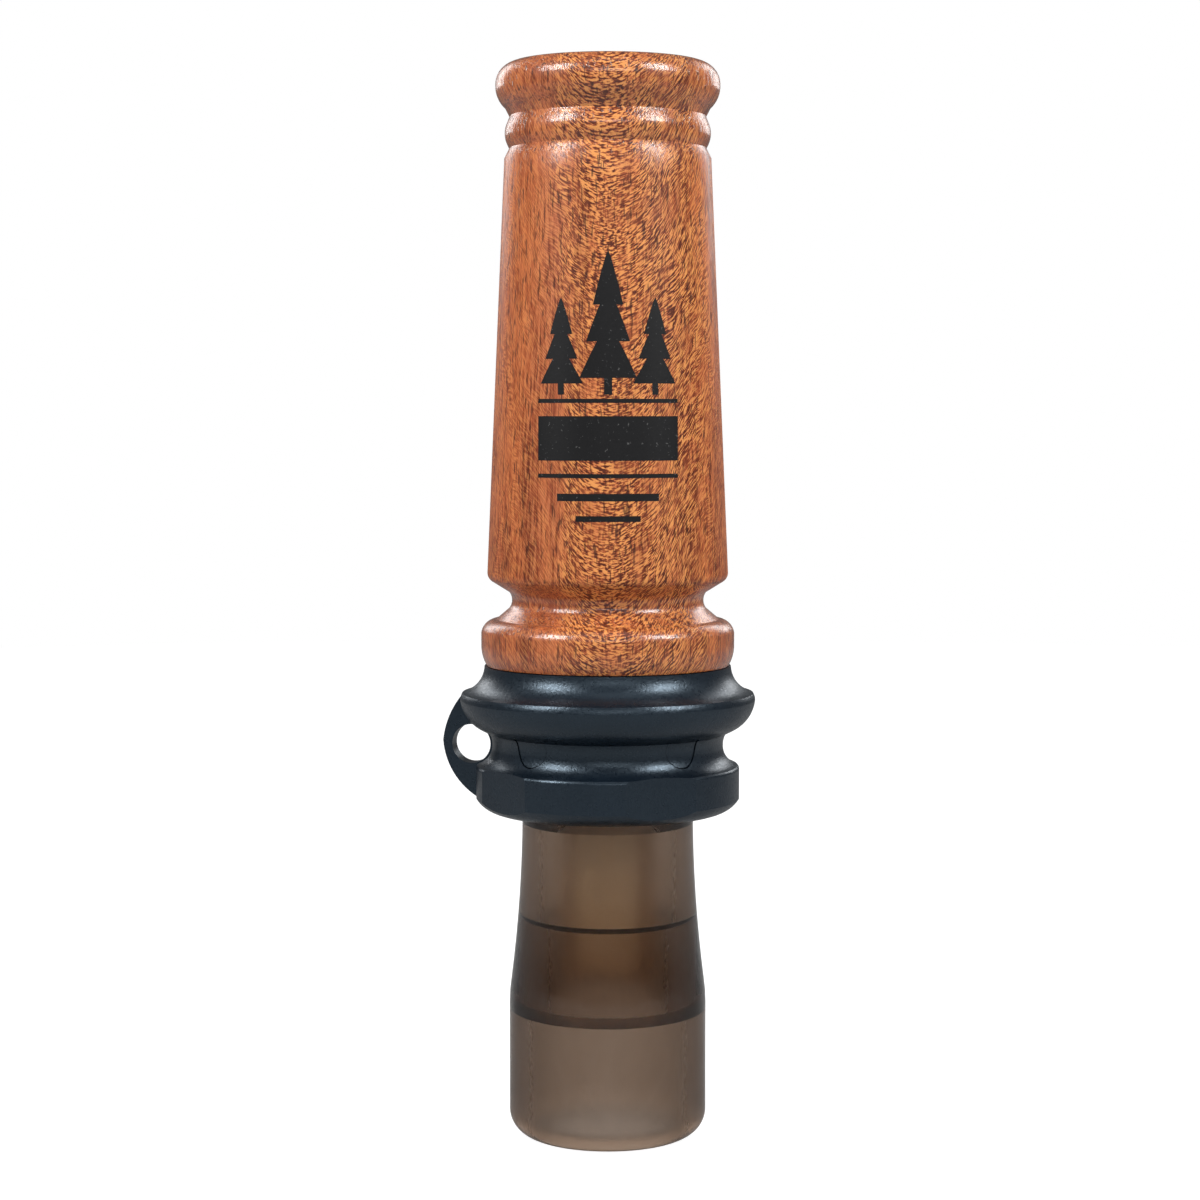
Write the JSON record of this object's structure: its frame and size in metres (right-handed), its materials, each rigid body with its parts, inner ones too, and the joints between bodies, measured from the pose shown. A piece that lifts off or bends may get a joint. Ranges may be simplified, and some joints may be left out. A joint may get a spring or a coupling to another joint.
{
  "type": "deer call",
  "caption": "Closed-reed deer call: turned wooden barrel with a bell end, black collar with a lanyard eye, and a smoked translucent mouthpiece with the reed inside.",
  "frame": {"origin": "centre of the mouth end of the mouthpiece, on the call's axis", "axes": "+Z along the call's axis from the mouthpiece to the bell of the barrel; the lanyard eye stands out along -X; -Y is the side that carries the print"},
  "size_m": [0.04, 0.0374, 0.1356],
  "materials": {
    "turned_wood": "satin lacquer",
    "black_moulding": "fine moulded texture, satin",
    "smoked_plastic": "smoked translucent, smooth",
    "seal_rubber": "smooth",
    "amber_plastic": "satin translucent",
    "reed_film": "frosted polyester film",
    "wedge_cork": "dense cork"
  },
  "bodies": {
    "mouthpiece_body": {"mouthpiece": "smoked_plastic"},
    "spigot_seal": {"mouthpiece_oring": "seal_rubber"},
    "collar_body": {"collar": "black_moulding", "tenon_sleeve": "black_moulding"},
    "tenon_seals": {"tenon_oring_upper": "seal_rubber", "tenon_oring_lower": "seal_rubber"},
    "barrel_body": {"barrel": "turned_wood"},
    "reed_insert": {"tone_board": "amber_plastic", "insert_oring": "seal_rubber", "reed_root": "reed_film", "reed_wedge": "wedge_cork"},
    "reed": {"reed_tongue": "reed_film"}
  },
  "joints": [
    {"name": "collar_twist", "type": "hinge", "parent": "mouthpiece_body", "child": "spigot_seal", "pos_m": [0, 0, 0.047], "axis": [0, 0, 1], "continuous": true},
    {"name": "collar_pull", "type": "slide", "parent": "spigot_seal", "child": "collar_body", "axis": [0, 0, 1], "range_m": [0, 0.012]},
    {"name": "barrel_twist", "type": "hinge", "parent": "collar_body", "child": "tenon_seals", "pos_m": [0, 0, 0.067], "axis": [0, 0, 1], "continuous": true},
    {"name": "barrel_pull", "type": "slide", "parent": "tenon_seals", "child": "barrel_body", "axis": [0, 0, 1], "range_m": [0, 0.016]},
    {"name": "insert_pull", "type": "slide", "parent": "mouthpiece_body", "child": "reed_insert", "axis": [0, 0, 1], "range_m": [0, 0.014]},
    {"name": "reed_flex", "type": "hinge", "parent": "reed_insert", "child": "reed", "pos_m": [0, -0.00082, 0.0422], "axis": [1, 0, 0], "range_deg": [-6, 2], "stiffness_Nm_per_rad": 0.0008}
  ]
}
